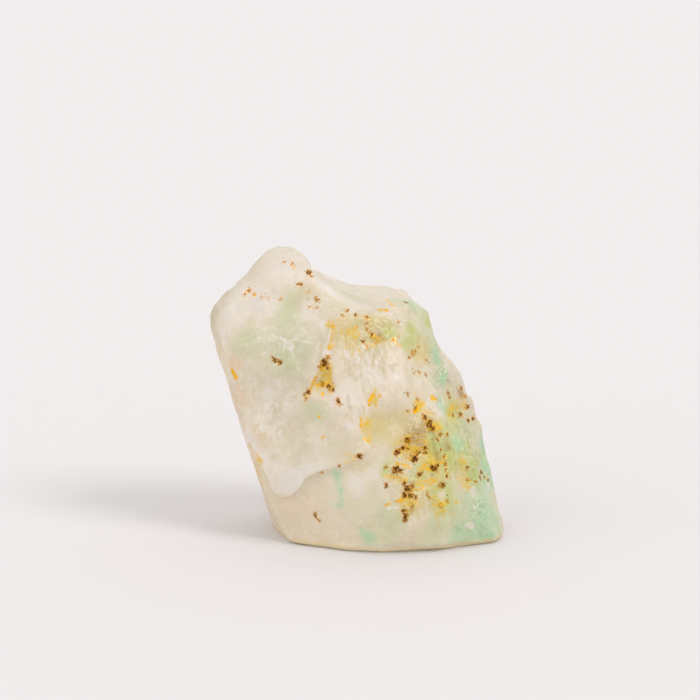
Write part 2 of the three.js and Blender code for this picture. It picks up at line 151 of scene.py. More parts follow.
# Places on the front are (across, up, radius), and points of a line there are (across, up), in
# millimetres from the middle of the view, measured in the plane that faces it through the lump.
ROUGH_PLACES = [
    (8.5, 4.0, 6.0), (12.5, -2.5, 6.0), (14.5, -9.0, 6.5), (11.0, -12.5, 7.0), (16.5, -16.0, 6.5),
    (9.0, -19.0, 6.0), (4.0, 3.5, 5.0), (17.5, -23.0, 5.5),
]
RIGHT_FIBRE_PLACES = [(0.5, -0.5, 6.5), (4.5, -2.5, 6.5), (0.5, -8.0, 5.0), (-3.5, 0.0, 3.0)]
LEFT_FIBRE_PLACES = [(-11.0, -7.5, 6.5), (-12.0, -12.5, 5.5), (-9.0, -17.5, 5.0), (-9.5, 0.5, 4.5)]
ARC_PLACES = [(-9.0, 1.0, 4.5), (-13.0, 3.5, 4.5), (-8.5, -4.0, 4.0), (-14.5, -3.5, 4.0)]
ARC_CENTRE = (-7.0, -9.0)

# The wavy lower edge of the upper layer, from the left side to where the stains begin.
LAYER_EDGE = [
    (-14.0, -13.0), (-12.3, -16.1), (-10.5, -20.2), (-8.7, -20.4), (-7.3, -19.6), (-6.6, -18.5),
    (-6.0, -17.4), (-4.3, -16.9), (-2.1, -16.2), (-0.7, -16.0), (1.3, -14.8), (2.8, -13.6),
]
LAYER_EDGE_FADE = 3.0
LAYER_SHADE_WIDTH = 0.3
LIP_WIDTH = 4.2
LIP_ENDS_ACROSS = -1.0

# A low second edge near the foot, which starts at the left and fades out to the right.
FOOT_LEDGE = [(-2.6, -27.4), (-1.9, -26.4), (-1.0, -25.0), (1.5, -23.8), (4.5, -22.7), (9.5, -21.6)]
FOOT_LEDGE_ENDS = (-2.6, 9.0)
FOOT_LEDGE_FADE = 3.0

# The left edge of the shallow hollow under the centre, as (up, across) because it stands upright.
HOLLOW_EDGE = [(-13.8, 2.6), (-11.0, 1.4), (-8.5, 2.2), (-6.6, 3.6)]
HOLLOW_ENDS = (-14.2, -6.2)
HOLLOW_REACH = 4.5
STEP_SOFTNESS = 0.2

# Brown iron specks, and how much of each one its ragged edge takes away, in millimetres.
SPECK_LOSS = 0.03
DARK_SPECKS = {
    "knob": [(-9.2, 12.3, 0.22), (-8.0, 12.0, 0.20), (-5.7, 10.9, 0.42), (-5.5, 10.4, 0.28)],
    "notch": [(-7.1, 9.2, 0.34), (-6.6, 8.8, 0.20), (-5.9, 8.1, 0.17), (-4.8, 7.3, 0.22)],
    "crease": [(-4.5, 6.9, 0.31), (-5.3, 5.9, 0.17), (-4.6, 5.9, 0.20), (-5.9, 6.0, 0.17)],
    "shoulder": [(-14.8, 7.8, 0.22), (-14.1, 8.3, 0.31), (-13.4, 7.8, 0.25), (-9.6, 7.1, 0.20)],
    "left face": [(-10.9, -1.0, 0.28), (-10.5, -1.4, 0.42), (-9.9, -1.7, 0.42)],
    "pit top": [(-3.1, -1.0, 0.28), (-3.6, -1.8, 0.63), (-3.1, -2.5, 0.34), (-4.2, -2.4, 0.22)],
    "pit left": [(-3.9, -4.8, 0.34), (-5.9, -5.9, 0.42), (-6.4, -6.2, 0.25), (-6.2, -7.0, 0.17)],
    "pit right": [(-2.9, -5.2, 0.42), (-2.5, -5.6, 0.42), (-1.7, -7.1, 0.42), (-1.5, -7.6, 0.28)],
    "shelf edge": [(-0.4, 5.5, 0.31), (-1.0, 4.8, 0.22), (0.8, 4.9, 0.28), (2.4, 4.6, 0.34)],
    "under the shelf": [(2.4, 3.8, 0.22), (3.1, 2.2, 0.31), (1.8, 1.1, 0.25), (2.4, 0.4, 0.20)],
    "upper right": [(6.2, 1.4, 0.28), (6.7, 3.9, 0.20), (7.8, 6.7, 0.42), (6.8, 1.8, 0.17)],
    "slanting row": [(9.5, 0.4, 0.25), (8.8, -0.4, 0.28), (8.3, -1.1, 0.22), (9.2, 0.0, 0.17)],
    "right of the row": [(9.0, -3.2, 0.25), (9.7, -3.2, 0.25), (10.6, -3.5, 0.25), (10.6, -1.4, 0.20)],
    "upper edge": [(13.7, -6.0, 0.28), (13.9, -6.7, 0.22), (15.5, -5.3, 0.34), (16.1, -6.4, 0.28)],
    "middle edge": [(16.4, -8.0, 0.36), (17.2, -9.5, 0.34), (14.4, -9.1, 0.42), (15.5, -9.1, 0.34)],
    "upper band": [(8.1, -6.2, 0.28), (9.5, -6.9, 0.22), (8.1, -8.5, 0.25), (9.1, -8.1, 0.36)],
    "main group": [(10.4, -9.4, 0.50), (11.1, -10.4, 0.64), (11.5, -10.9, 0.45), (12.6, -11.8, 0.34)],
    "standing row": [(13.6, -11.8, 0.31), (12.3, -12.5, 0.28), (12.7, -14.0, 0.25)],
    "foot of the row": [
        (13.2, -15.0, 0.36), (13.3, -16.0, 0.31), (13.4, -16.8, 0.22), (13.6, -17.6, 0.34)
    ],
    "inner group": [(8.1, -12.7, 0.56), (7.4, -13.7, 0.34), (6.6, -14.3, 0.50), (8.0, -13.9, 0.28)],
    "inner right": [(9.5, -14.4, 0.42), (9.0, -15.1, 0.62), (10.6, -13.7, 0.42), (10.5, -14.4, 0.36)],
    "slab group": [(6.4, -16.7, 0.59), (7.0, -16.9, 0.48), (5.0, -16.4, 0.28), (9.7, -17.4, 0.42)],
    "slab right": [(11.8, -16.5, 0.56), (12.2, -16.2, 0.39), (13.0, -18.9, 0.50), (12.6, -19.0, 0.28)],
    "low group": [(7.6, -18.8, 0.34), (8.7, -19.0, 0.39), (8.1, -19.5, 0.50), (7.7, -20.3, 0.48)],
    "low right": [(8.5, -20.4, 0.48), (9.2, -20.6, 0.31), (10.9, -20.2, 0.22), (11.1, -20.7, 0.20)],
    "foot group": [(8.7, -21.8, 0.28), (7.6, -22.5, 0.36), (7.8, -23.1, 0.39), (7.7, -23.8, 0.39)],
    "low left": [(5.0, -18.9, 0.31), (12.7, -21.8, 0.31), (13.6, -21.1, 0.25)],
    "right edge": [(18.3, -17.1, 0.34), (18.2, -17.9, 0.42), (18.8, -17.8, 0.25), (16.5, -16.4, 0.22)],
    "layer edge": [(1.3, -14.8, 0.42), (1.5, -15.1, 0.28), (-1.5, -16.2, 0.25), (-3.9, -17.1, 0.20)],
    "base": [(-4.9, -23.0, 0.28), (-4.6, -23.4, 0.20), (-4.3, -23.9, 0.22)],
}
ORANGE_SPECKS = {
    "right face": [(11.6, -6.7, 0.42), (12.0, -6.9, 0.28), (9.1, -8.5, 0.45), (9.5, -8.1, 0.34)],
    "over the hollow": [(2.8, -7.0, 0.34), (3.2, -6.4, 0.30), (2.7, -7.6, 0.24), (4.1, -6.4, 0.22)],
    "shelf": [(4.2, 5.6, 0.34), (5.0, 5.6, 0.36), (5.3, 6.9, 0.34), (5.9, 6.5, 0.26)],
    "left edge": [(-16.4, -3.2, 0.36), (-16.0, -3.8, 0.36), (-16.5, -2.8, 0.22)],
    "knob": [(-8.3, 11.8, 0.22), (-7.7, 11.9, 0.20), (-7.8, 11.3, 0.17)],
    "shoulder": [(-14.6, 8.1, 0.22), (-13.4, 7.6, 0.22)],
    "middle": [(-3.8, -12.2, 0.22), (-4.3, -9.4, 0.25), (-3.8, -6.2, 0.31)],
}
# Drawn-out stains: (from, to, half width) in millimetres.
DARK_STROKES = [
    ((-9.9, 7.1), (-12.6, 7.5), 0.02),
    ((10.8, -19.9), (11.2, -20.8), 0.16),
    ((13.2, -14.6), (13.6, -17.4), 0.06),
    ((16.3, -18.2), (17.8, -18.5), 0.05),
    ((8.2, -1.3), (9.7, 0.6), 0.04),
    ((2.4, 3.0), (3.0, 1.9), 0.10),
    ((-4.9, 7.3), (-4.5, 6.7), 0.12),
]
ORANGE_STROKES = [
    ((-2.2, 3.8), (-2.9, 0.2), 0.10),
    ((-3.5, -2.0), (-5.8, -5.8), 0.22),
    ((-3.2, -2.6), (-4.6, -5.4), 0.10),
    ((-2.9, -2.6), (-2.4, -5.4), 0.14),
    ((-4.6, -4.9), (-2.9, -4.6), 0.12),
    ((-1.6, 4.4), (-2.1, 0.8), 0.03),
    ((-1.1, 4.2), (-1.2, -0.6), 0.02),
    ((-0.3, 4.4), (-0.5, 1.2), 0.02),
    ((0.9, 3.6), (0.6, 0.2), 0.02),
    ((4.9, -21.8), (7.4, -20.9), 0.14),
    ((9.6, -19.6), (12.6, -18.0), 0.10),
    ((10.5, -18.4), (12.2, -17.9), 0.08),
    ((13.8, -21.4), (15.8, -21.2), 0.08),
    ((12.6, -23.2), (14.6, -22.9), 0.08),
    ((15.2, -16.2), (18.0, -16.0), 0.07),
    ((15.4, -17.4), (18.2, -17.0), 0.07),
    ((6.6, -15.8), (8.4, -16.4), 0.16),
    ((10.4, -16.0), (13.6, -15.7), 0.10),
    ((1.5, -9.6), (1.9, -12.4), 0.14),
    ((2.0, -12.4), (3.4, -13.4), 0.10),
    ((3.8, 5.5), (5.3, 5.5), 0.16),
    ((5.2, 6.8), (6.0, 6.2), 0.12),
    ((-13.0, -14.6), (-12.4, -16.4), 0.10),
    ((-14.9, -10.0), (-13.6, -16.0), 0.04),
    ((-13.4, -17.0), (-10.4, -23.5), 0.05),
    ((-0.6, 0.6), (0.4, -0.9), 0.05),
    ((0.6, 1.2), (1.6, -1.0), 0.06),
    ((11.6, -21.5), (12.6, -24.5), 0.05),
]
# Fine pale lines of painted highlight, where edges and inner cracks catch the light: (half width,
# places).
HIGHLIGHT_LINES = [
    (0.10, [(-2.6, 4.0), (-3.0, 1.6), (-3.9, -1.2), (-6.1, -5.4)]),
    (0.06, [(-15.6, 0.4), (-13.2, 1.6), (-10.4, 1.9), (-7.4, 1.3), (-5.4, 0.9)]),
    (0.05, [(-14.2, 2.9), (-11.4, 3.9), (-8.2, 3.6), (-5.6, 2.4)]),
    (0.05, [(-13.4, -1.0), (-11.0, 0.2), (-8.6, 0.2), (-6.6, -0.6)]),
    (0.05, [(-8.4, -0.2), (-7.2, -2.2), (-6.9, -4.6)]),
    (0.07, [(-2.0, -26.4), (-0.6, -24.8), (2.6, -23.4), (5.4, -22.2), (8.0, -21.8)]),
    (0.08, [(-17.6, 0.9), (-18.0, -1.2), (-16.6, -5.0)]),
    (0.10, [(-15.6, -7.6), (-13.4, -14.0), (-11.9, -19.4), (-9.4, -24.8), (-8.4, -26.8)]),
    (0.06, [(-4.2, 6.1), (-1.0, 5.6), (2.2, 4.9), (4.8, 4.9), (7.4, 5.5)]),
    (0.06, [(11.2, -1.4), (11.9, -4.4), (13.1, -7.4), (14.5, -10.8)]),
]
# The narrow plane down the left side ends at this line, as (up, across) because it stands upright.
SIDE_PLANE_EDGE = [
    (-26.8, -8.4),
    (-19.4, -11.9),
    (-14.0, -13.4),
    (-7.6, -15.6),
    (-4.0, -17.0),
    (1.0, -17.7),
]
SIDE_PLANE_TOP = 1.0
SIDE_PLANE_SOFTNESS = (0.25, 0.4)

# Where each stain and each cloud of colour lies.
OCHRE_PLACES = [
    (-3.6, -3.0, 2.0), (-3.9, -4.4, 2.3), (-5.4, -5.8, 1.6), (-2.6, -5.2, 1.6), (-2.4, 3.2, 1.4),
    (-2.9, 0.6, 1.2), (0.3, 3.0, 1.5), (3.5, 1.8, 1.8), (6.5, 0.8, 1.4), (2.0, -10.5, 2.2),
    (2.6, -12.8, 1.8), (3.4, -6.8, 1.6), (9.5, -7.5, 3.0), (11.5, -10.5, 3.6), (8.0, -13.5, 3.8),
    (11.0, -15.5, 3.6), (7.0, -17.5, 3.0), (11.0, -18.5, 3.6), (8.0, -21.5, 3.0),
    (14.5, -8.5, 3.0), (16.0, -6.5, 2.4), (15.8, -15.6, 2.4), (16.0, -18.4, 3.0),
    (12.5, -21.5, 2.6), (-0.5, -15.4, 1.8), (-12.3, -15.4, 1.6),
]
BROWN_PLACES = [
    (8.6, -12.4, 3.2), (9.4, -14.2, 2.2), (11.0, -10.8, 2.6), (13.2, -12.8, 2.0),
    (12.0, -14.4, 1.6), (11.6, -16.4, 1.4), (3.6, 2.0, 1.8), (6.6, -16.8, 1.6), (8.2, -19.4, 1.8),
    (7.8, -22.6, 1.1), (-3.5, -1.8, 1.2), (15.6, -5.4, 1.6),
]
HONEY_PLACES = [
    (0.0, 2.0, 4.5), (4.5, 2.5, 4.0), (4.0, -10.5, 5.2), (9.0, -12.0, 6.5), (13.0, -16.0, 5.5),
    (10.0, 0.0, 4.0), (8.5, -21.0, 5.0), (14.5, -8.0, 4.0), (15.5, -14.0, 4.0), (3.0, 3.8, 3.0),
    (-4.0, -4.0, 2.6), (1.5, -15.5, 3.5),
]
TAN_PLACES = [
    (-16.4, -2.0, 2.4), (-15.5, -7.0, 3.6), (-13.0, -12.5, 4.0), (-9.0, -21.0, 4.5),
    (-5.0, -21.5, 4.0), (-10.0, -25.0, 3.5),
]
GREEN_PLACES = [
    (-9.0, 5.5, 5.0), (-8.5, -0.5, 6.0), (-14.0, 1.0, 4.0), (4.5, -24.0, 5.5), (1.0, -22.0, 4.5),
    (9.0, 7.5, 3.2), (6.6, 6.6, 2.8), (9.8, 5.0, 3.0), (-4.5, -9.0, 3.5), (12.0, -25.0, 4.0),
    (11.5, 1.0, 4.5), (12.5, -3.5, 4.5), (16.0, -11.0, 5.5), (17.5, -17.5, 6.0),
    (14.5, -23.0, 5.0), (2.5, -18.5, 3.5),
]
OLIVE_PLACES = [
    (8.6, 2.5, 3.8), (7.4, 0.8, 2.4), (5.0, 2.6, 2.2), (9.5, -17.8, 2.8), (5.5, -16.0, 2.5),
    (11.5, 4.0, 2.4), (14.5, -8.5, 4.2), (15.0, -14.0, 6.0), (17.5, -17.0, 4.6),
    (11.5, -14.5, 5.0), (13.0, -20.5, 4.6), (13.0, -11.5, 4.0), (18.6, -15.0, 3.0),
]
MINT_PLACES = [
    (12.4, -1.0, 2.6), (13.2, -4.0, 2.5), (12.6, -7.6, 2.0), (15.2, -13.0, 3.2),
    (18.6, -13.0, 3.6), (19.4, -18.0, 4.6), (18.6, -23.0, 6.0), (19.5, -26.0, 5.5),
    (15.5, -26.0, 3.4), (-1.5, -18.0, 1.6), (-1.4, -19.6, 1.7), (-1.3, -21.4, 1.6),
    (1.9, -26.2, 2.6), (9.6, 7.4, 2.4),
]
VEIL_PLACES = [
    (-11.5, -6.0, 2.4), (-8.3, -18.0, 2.8), (-9.8, -16.0, 1.8), (-6.5, -17.5, 2.0),
    (-4.8, 4.2, 1.2), (-0.6, -6.0, 4.2), (0.0, -10.6, 2.0), (3.0, -3.6, 2.8), (7.0, -4.6, 2.2),
    (13.0, -20.3, 1.4), (1.4, -19.0, 3.2), (3.2, -17.2, 2.2), (17.3, -19.9, 1.2),
    (19.6, -19.3, 1.2), (16.8, -24.6, 1.6), (-10.0, 11.5, 7.5), (-3.0, 8.5, 4.0),
    (-16.5, 5.0, 4.5), (-12.5, 6.5, 4.5), (-15.8, 8.2, 3.0), (-5.0, 5.0, 2.6), (-17.2, 2.0, 2.0),
    (-3.4, 3.0, 1.4), (-3.6, -0.4, 1.2), (-9.6, -19.0, 3.2),
]

# Stains on the hidden sides: (middle, spread, count), in millimetres.
HIDDEN_STAINS = [
    ((14.0, 9.0, 14.0), 3.0, 16),
    ((3.0, 13.0, 21.0), 2.5, 12),
    ((-9.0, 8.0, 30.0), 2.2, 7),
    ((17.5, 4.0, 6.0), 2.4, 9),
]
HIDDEN_SPECK_RADIUS = (0.15, 0.5)
HIDDEN_WASH = 4
HIDDEN_MINT = [((16.0, 6.0, 8.0), 9.0), ((12.0, 8.0, 20.0), 6.0), ((4.0, 12.0, 6.0), 6.0)]
HIDDEN_SEED = 11

# Millimetres from any stain, to start the search for the nearest one.
FAR_AWAY = 9.0

# A face counts as seen from the front view where it is turned towards it by more than this.
WELL_SEEN = 0.3


def displayed(red, green, blue):
    """The linear colour of a colour given as 0 to 255 on a screen."""
    parts = [part / 255 for part in (red, green, blue)]
    linear = [part / 12.92 if part <= 0.04045 else ((part + 0.055) / 1.055) ** 2.4 for part in parts]
    return (*linear, 1.0)


CREAM = displayed(226, 217, 191)
PALE_CREAM = displayed(242, 232, 218)
TAN = displayed(236, 212, 180)
PALE_GREEN = displayed(213, 219, 182)
MINT = displayed(176, 225, 184)
OLIVE = displayed(196, 208, 110)
HONEY = displayed(222, 204, 124)
WHITE_VEIL = displayed(253, 243, 239)
SEAM = displayed(206, 186, 138)
LOWER_FACE = displayed(244, 231, 210)
FOOT = displayed(240, 220, 170)
OCHRE_WASH = displayed(232, 198, 56)
BROWN_WASH = displayed(170, 124, 50)
ORANGE_STREAK = displayed(246, 200, 0)
ORANGE_SPECK = displayed(250, 188, 0)
SPECK_HALO = displayed(220, 156, 0)
DARK_SPECK = displayed(84, 40, 4)
FLOOR = displayed(209, 206, 207)
SURROUNDINGS = (1.0, 0.985, 0.98, 1)
KEY_COLOUR = (1.0, 0.98, 0.96)
FILL_COLOUR = (1.0, 0.98, 0.97)

# Fluorite bends light little, and light inside the crystal keeps this tint.
FLUORITE_IOR = 1.434
TINT_INSIDE = (0.95, 0.96, 0.86, 1)
ABSORPTION_DENSITY = 12.0
SCATTER_RADIUS = (1.0, 0.95, 0.8)
SCATTER_DEPTH = 0.15 * MM
SEEN_THROUGH = 0.52
LEAST_ROUGHNESS = 0.30
FROST_ROUGHNESS = 0.10
BUMP_HEIGHT = 0.08 * MM

# How metallic iron makes the surface shine, in its specks, round them and where it is gold.
SPECK_LUSTRE = 0.7
HALO_LUSTRE = 0.45
GOLD_LUSTRE = 0.4

# The clouds of noise that the crystal is made from: (size in mm, detail, roughness, seed).
NOISES = {
    "clouds": (3.0, 4.0, 0.6, 1.0),
    "fine clouds": (0.8, 3.0, 0.65, 2.0),
    "left bumps": (0.7, 3.0, 0.6, 3.0),
    "right bumps": (0.5, 3.0, 0.6, 4.0),
    "grain bumps": (0.5, 2.0, 0.6, 5.0),
    "level streaks": (0.5, 3.0, 0.65, 5.0),
    "upright streaks": (0.45, 3.0, 0.65, 5.0),
    "frost": (3.0, 2.0, 0.5, 6.0),
    "threads": (0.45, 3.0, 0.6, 7.0),
    "crumbs": (0.36, 3.0, 0.8, 8.0),
    "wide feathers": (1.1, 3.0, 0.55, 9.0),
    "thin feathers": (0.6, 3.0, 0.55, 10.0),
    "hairs": (1.3, 3.0, 0.55, 11.0),
    "dust": (0.28, 1.0, 0.5, 12.0),
    "drift": (2.2, 2.0, 0.5, 13.0),
    "feather gaps": (1.6, 2.0, 0.5, 14.0),
    "glints": (0.36, 3.0, 0.65, 16.0),
    "wash": (0.24, 3.0, 0.8, 17.0),
    "speck grains": (0.30, 2.0, 0.6, 18.0),
    "hidden green": (7.0, 3.0, 0.55, 20.0),
    "hidden veils": (5.0, 4.0, 0.6, 21.0),
    "seams": (0.8, 3.0, 0.55, 31.0),
}

# How wide veins are, as shares of the noise they follow, and how far fibres are drawn out.
VEIN_WIDTHS = {"wide feathers": 0.07, "thin feathers": 0.05, "hairs": 0.035, "seams": 0.05}
STRETCHES = {
    "threads": 0.10,
    "feathers": 0.30,
    "upright streaks": 0.15,
    "left bumps": 0.25,
    "right bumps": 0.12,
}
LEVEL_STRETCH = (0.2, 0.2, 1.0)
CRACK_WANDER = 2.4
FOOT_RAGGEDNESS = 1.2

# Iron dust thins out between these distances from the edge of a speck, in millimetres.
DUST_REACH = (0.4, 1.1)

# The two values between which the edge of each pattern fades in or out.
EDGES = {
    "patches": (0.55, 1.15),
    "cream": (0.38, 0.62),
    "hidden green": (0.48, 0.60),
    "mint": (0.25, 1.2),
    "foot": (0.80, 1.0),
    "hidden veils": (0.52, 0.66),
    "lip": (0.0, 0.45),
    "threads": (0.52, 0.64),
    "between threads": (0.36, 0.48),
    "feather gaps": (0.38, 0.62),
    "hairs": (0.40, 0.58),
    "seams": (0.42, 0.60),
    "glints": (0.56, 0.63),
    "highlight lines": (-0.02, 0.10),
    "frost": (0.3, 0.7),
    "wash": (0.60, 0.80),
    "brown": (0.62, 0.80),
    "streaks": (0.62, 0.74),
    "gold": (-0.08, 0.12),
    "halo": (-0.04, 0.22),
    "dust": (0.69, 0.73),
    "grains": (0.40, 0.50),
    "specks": (-0.14, -0.02),
}

# How strongly each colour covers what lies under it.
STRENGTHS = {
    "hidden green": 0.8,
    "honey": 0.8,
    "lower face": 0.65,
    "olive": 0.9,
    "mint": 0.85,
    "side plane": 0.7,
    "foot": 0.8,
    "veil": 0.8,
    "threads": 0.95,
    "between threads": 0.6,
    "feathers": 1.6,
    "thin feathers": 0.6,
    "hairs": 0.6,
    "seams": 0.3,
    "glints": 0.8,
    "highlight lines": 0.8,
    "wash": 0.7,
    "brown": 0.6,
    "streaks": 0.75,
    "halo": 0.85,
}


class Wire:
    """One output of a node. Sums and products of wires add the Math nodes that work them out."""

    def __init__(self, net, socket):
        self.net = net
        self.socket = socket

    def maths(self, operation, *others):
        return self.net.node("ShaderNodeMath", {"operation": operation}, [self, *others])

    def __add__(self, other):
        return self.maths("ADD", other)

    __radd__ = __add__

    def __mul__(self, other):
        return self.maths("MULTIPLY", other)

    __rmul__ = __mul__

    def __sub__(self, other):
        return self.maths("SUBTRACT", other)

    def __rsub__(self, other):
        return self.net.node("ShaderNodeMath", {"operation": "SUBTRACT"}, [other, self])

    def highest(self, other):
        return self.maths("MAXIMUM", other)

    def fraction(self):
        return self.maths("FRACT")

    def size(self):
        return self.maths("ABSOLUTE")


class Net:
    """A tree of nodes, for a material or for geometry."""

    def __init__(self, tree):
        self.tree = tree
        self.tree.nodes.clear()

    def node(self, kind, settings=None, values=None, output=None):
        """Adds a node, sets it, fills its sockets by place or by name, and returns one output."""
        made = self.tree.nodes.new(kind)
        for name, setting in (settings or {}).items():
            setattr(made, name, setting)
        named = values.items() if isinstance(values, dict) else enumerate(values or [])
        for key, value in named:
            socket = made.inputs[key] if isinstance(key, int) else self.open_socket(made.inputs, key)
            if isinstance(value, Wire):
                self.tree.links.new(value.socket, socket)
            else:
                socket.default_value = value
        return Wire(self, self.open_socket(made.outputs, output))

    def open_socket(self, sockets, name):
        """The first socket in use, of that name if one is given."""
        fitting = [socket for socket in sockets if socket.enabled and name in (None, socket.name)]
        return fitting[0] if fitting else None

    def vector(self, operation, *values):
        return self.node("ShaderNodeVectorMath", {"operation": operation}, list(values))

    def scaled(self, place, factor):
        values = {"Vector": place, "Scale": factor}
        return self.node("ShaderNodeVectorMath", {"operation": "SCALE"}, values)

    def noise(self, place, size, detail, roughness, seed, output="Fac"):
        """Cloudy noise from 0 to 1, with lumps of that size."""
        values = {
            "Vector": place,
            "W": seed,
            "Scale": 1 / size,
            "Detail": detail,
            "Roughness": roughness,
        }
        return self.node("ShaderNodeTexNoise", {"noise_dimensions": "4D"}, values, output)

    def fade(self, value, low, high):
        """Rises softly from 0 at low to 1 at high."""
        values = {"Value": value, "From Min": low, "From Max": high}
        return self.node("ShaderNodeMapRange", {"interpolation_type": "SMOOTHSTEP"}, values)

    def blend(self, factor, first, second):
        """Mixes two colours."""
        values = {"Factor": factor, "A": first, "B": second}
        return self.node("ShaderNodeMix", {"data_type": "RGBA"}, values)

    def stretched(self, place, along, ratio):
        """The place squeezed along one direction, so that noise on it is drawn out that way."""
        reach = self.vector("DOT_PRODUCT", place, along)
        return self.vector("ADD", place, self.scaled(tuple(along), reach * (ratio - 1)))


def linked(name, mesh):
    """A new object that holds the mesh, at the origin."""
    made = bpy.data.objects.new(name, mesh)
    bpy.context.collection.objects.link(made)
    return made


def with_modifiers_applied(piece):
    """The piece's mesh as its modifiers leave it, with the modifiers taken off."""
    graph = bpy.context.evaluated_depsgraph_get()
    finished = bpy.data.meshes.new_from_object(piece.evaluated_get(graph))
    piece.modifiers.clear()
    piece.data = finished


def even_copy(source):
    """A copy of the solid's mesh on an even, fine grid."""
    mesh = source.data.copy()
    loose = bmesh.new()
    loose.from_mesh(mesh)
    bmesh.ops.remove_doubles(loose, verts=loose.verts, dist=WELD_MM * MM)
    loose.to_mesh(mesh)
    loose.free()
    mesh.materials.clear()
    piece = linked("raw_fluorite", mesh)
    grid = piece.modifiers.new("even_grid", "REMESH")
    grid.mode = "VOXEL"
    grid.voxel_size = GRID_MM * MM
    even = piece.modifiers.new("even_faces", "SMOOTH")
    even.iterations = EVENING_PASSES
    with_modifiers_applied(piece)
    return piece


def points_of(piece):
    """The mesh's points and normals, in millimetres."""
    count = len(piece.data.vertices)
    points = np.empty(count * 3)
    piece.data.vertices.foreach_get("co", points)
    normals = np.empty(count * 3)
    piece.data.vertices.foreach_get("normal", normals)
    return points.reshape(-1, 3) / MM, normals.reshape(-1, 3)


def store(piece, name, values):
    """Keeps one number for each point of the mesh under a name."""
    layer = piece.data.attributes.get(name) or piece.data.attributes.new(name, "FLOAT", "POINT")
    layer.data.foreach_set("value", np.ascontiguousarray(values, dtype=np.float32))


class Front:
    """Finds places on the lump's front from where they show in the front view."""

    def __init__(self, piece):
        graph = bpy.context.evaluated_depsgraph_get()
        self.tree = BVHTree.FromObject(piece, graph)

    def place(self, across, up):
        """The point in millimetres that shows that far across and up from the middle of the view."""
        aim = VIEW_CENTRE + (VIEW_RIGHT * across + VIEW_UP * up) * MM
        hit = self.tree.ray_cast(VIEW_POINT, (aim - VIEW_POINT).normalized())[0]
        if hit is None:
            hit = self.tree.find_nearest(aim)[0]
        return np.array(hit) / MM

    def places(self, listed):
        """Points and radii of a list of places."""
        return [(self.place(across, up), radius) for across, up, radius in listed]


def wandering(points, wander):
    """The points moved about by soft noise, so that what is measured from them has ragged edges."""
    size, reach = wander
    noise.seed_set(WANDER_SEED)
    drift = [noise.noise_vector(Vector(point) / size) for point in points]
    return points + np.array(drift) * reach


def line_distance(points, start, end):
    """Millimetres from each point to a straight line between two places."""
    along = end - start
    share = np.clip((points - start) @ along / (along @ along), 0, 1)
    return np.linalg.norm(points - start - share[:, None] * along, axis=1)


def seen_at(points):
    """How far across and up from the middle of the view each point shows, in millimetres."""
    away = points - np.array(VIEW_POINT) / MM
    scale = (VIEW_DISTANCE / MM) / (away @ np.array(VIEW_FORWARD))
    return away @ np.array(VIEW_RIGHT) * scale, away @ np.array(VIEW_UP) * scale


def soft_patch(points, places):
    """1 at the middle of each place, falling softly to 0 at its radius, and joined where they meet."""
    clear = np.ones(len(points))
    for middle, radius in places:
        near = 1 - np.clip(np.linalg.norm(points - middle, axis=1) / radius, 0, 1)
        clear *= 1 - near * near * (3 - 2 * near)
    return 1 - clear


def edge_distance(points, places):
    """Millimetres outside the nearest round place, below 0 inside it."""
    distance = np.full(len(points), FAR_AWAY)
    for middle, radius in places:
        distance = np.minimum(distance, np.linalg.norm(points - middle, axis=1) - radius)
    return distance


def stroke_distance(points, front, strokes):
    """Millimetres outside the nearest drawn-out stain."""
    distance = np.full(len(points), FAR_AWAY)
    for start, end, radius in strokes:
        line = line_distance(points, front.place(*start), front.place(*end))
        distance = np.minimum(distance, line - radius)
    return distance


def highlight_line_distance(points, front):
    """Millimetres outside the nearest fine pale line of painted highlight."""
    strokes = []
    for half_width, places in HIGHLIGHT_LINES:
        strokes += [(start, end, half_width) for start, end in zip(places, places[1:])]
    return stroke_distance(points, front, strokes)


def seen_from_front(normals):
    """1 where the surface looks at the front view, 0 where it is turned away."""
    facing = normals @ -np.array(VIEW_FORWARD)
    return np.clip(facing / WELL_SEEN, 0, 1)


def lowered_places(points):
    """1 just below the low ledge near the foot and inside the hollow under the centre."""
    across, up = seen_at(points)
    left, right = FOOT_LEDGE_ENDS
    below = np.clip((np.interp(across, *zip(*FOOT_LEDGE)) - up) / STEP_SOFTNESS, 0, 1)
    below *= np.clip(across - left, 0, 1) * np.clip((right - across) / FOOT_LEDGE_FADE, 0, 1)
    foot, top = HOLLOW_ENDS
    inside = across - np.interp(up, *zip(*HOLLOW_EDGE))
    hollow = np.clip(inside / STEP_SOFTNESS, 0, 1) * np.clip(1 - inside / HOLLOW_REACH, 0, 1)
    hollow *= np.clip(up - foot, 0, 1) * np.clip(top - up, 0, 1)
    return np.maximum(below, hollow)


def store_relief_zones(piece):
    """Says where the surface is rough, fibrous, rippled or lowered, in front and behind."""
    points, normals = points_of(piece)
    front = Front(piece)
    seen = seen_from_front(normals)
    behind = np.clip((normals[:, 1] - 0.1) / 0.4, 0, 1)
    zones = {
        "rough": (ROUGH_PLACES, BACK_ROUGHNESS),
        "right_fibres": (RIGHT_FIBRE_PLACES, 0),
        "left_fibres": (LEFT_FIBRE_PLACES, BACK_FIBRES),
        "arcs": (ARC_PLACES, BACK_ARCS),
    }
    for name, (places, back_share) in zones.items():
        store(piece, name, soft_patch(points, front.places(places)) * seen + behind * back_share)
    store(piece, "lowered", lowered_places(wandering(points, LEDGE_WANDER)) * seen)
    centre = front.place(*ARC_CENTRE)
    store(piece, "arc_reach", np.linalg.norm(points - centre, axis=1))


def cleavage_directions():
    """The four directions that the cleavage planes look in."""
    turn = CLEAVAGE_TURN.to_matrix()
    return [(turn @ Vector(corner)).normalized() for corner in CLEAVAGE_CORNERS]


def named_value(net, name):
    values = {"Name": name}
    return net.node("GeometryNodeInputNamedAttribute", {"data_type": "FLOAT"}, values, "Attribute")


